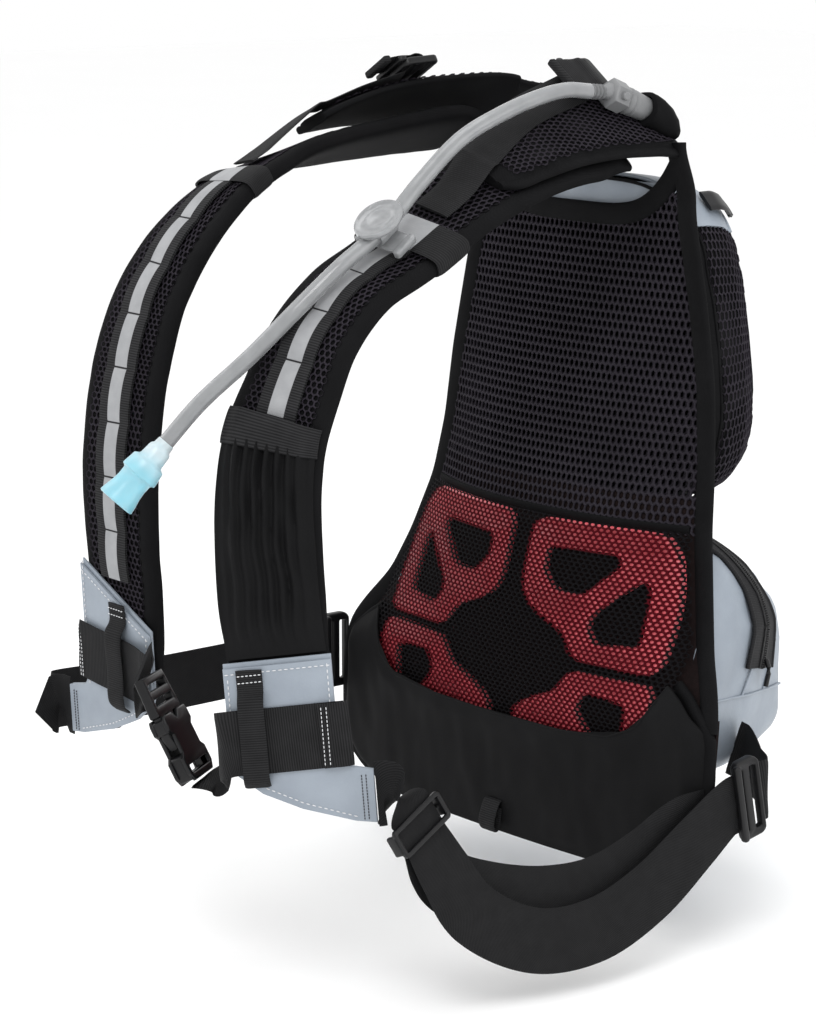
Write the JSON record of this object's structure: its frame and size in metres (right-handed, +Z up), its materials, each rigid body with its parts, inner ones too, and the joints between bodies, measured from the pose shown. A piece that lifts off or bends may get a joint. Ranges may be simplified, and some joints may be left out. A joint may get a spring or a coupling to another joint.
{
  "type": "hydration pack",
  "caption": "Worn-form hydration vest pack with padded shoulder straps, back panel, lumbar pads, two bags, webbing belt and drink tube.",
  "frame": {"origin": "midway between the shoulder straps at the top of the back panel, on the side of the wearer", "axes": "+X towards the wearer's left, +Y from the chest to the back, +Z up"},
  "size_m": [0.3672, 0.4847, 0.522],
  "materials": {
    "hex_mesh": "black spacer mesh with hexagonal openings",
    "fine_net": "fine black knitted net",
    "black_cloth": "matt black woven cloth",
    "stretch_cloth": "black stretch knit",
    "coated_cloth": "grey-blue coated cloth, slightly satin",
    "webbing": "black ribbed webbing",
    "zip_tape": "black zip tape with a covered coil",
    "red_foam": "moulded red foam, satin",
    "black_plastic": "moulded black plastic with a fine grain",
    "grey_plastic": "moulded grey plastic",
    "clear_hose": "clear flexible tube",
    "clear_plastic": "clear grey moulded plastic",
    "blue_silicone": "frosted clear and pale blue silicone"
  },
  "bodies": {
    "root": {"back_panel": "hex_mesh", "panel_binding": "black_cloth", "lumbar_base": "black_cloth", "lumbar_net": "fine_net", "pad_upper_left": "red_foam", "pad_lower_left": "red_foam", "pad_upper_right": "red_foam", "pad_lower_right": "red_foam", "lower_pocket": "stretch_cloth", "bottom_loop": "webbing", "upper_bag": "black_cloth", "top_cover": "coated_cloth", "lower_bag": "coated_cloth", "bag_zip": "zip_tape", "neck_yoke": "black_cloth", "bag_tag_left": "black_plastic", "shoulder_strap_left": "hex_mesh", "strap_webbing_left": "webbing", "cross_band_left": "webbing", "lifter_strap_left": "webbing", "lifter_buckle_left": "black_plastic", "strap_tab_left": "coated_cloth", "keeper_left": "webbing", "belt_web_left": "webbing", "side_adjuster_left": "black_plastic", "bag_tag_right": "black_plastic", "shoulder_strap_right": "hex_mesh", "strap_webbing_right": "webbing", "cross_band_right": "webbing", "lifter_strap_right": "webbing", "lifter_buckle_right": "black_plastic", "strap_tab_right": "coated_cloth", "keeper_right": "webbing", "belt_web_right": "webbing", "side_adjuster_right": "black_plastic", "strap_pocket_left": "stretch_cloth", "pocket_band_left": "webbing", "buckle_male": "black_plastic", "buckle_female": "black_plastic", "side_strap_left": "webbing", "side_return_left": "webbing", "side_stub_left": "webbing", "side_strap_right": "webbing", "side_slider_left": "black_plastic", "side_slider_right": "black_plastic", "drink_tube": "clear_hose", "tube_connector": "grey_plastic", "hose_port_sleeve": "black_cloth", "tube_clip": "clear_plastic", "bite_valve": "blue_silicone"}
  },
  "joints": []
}
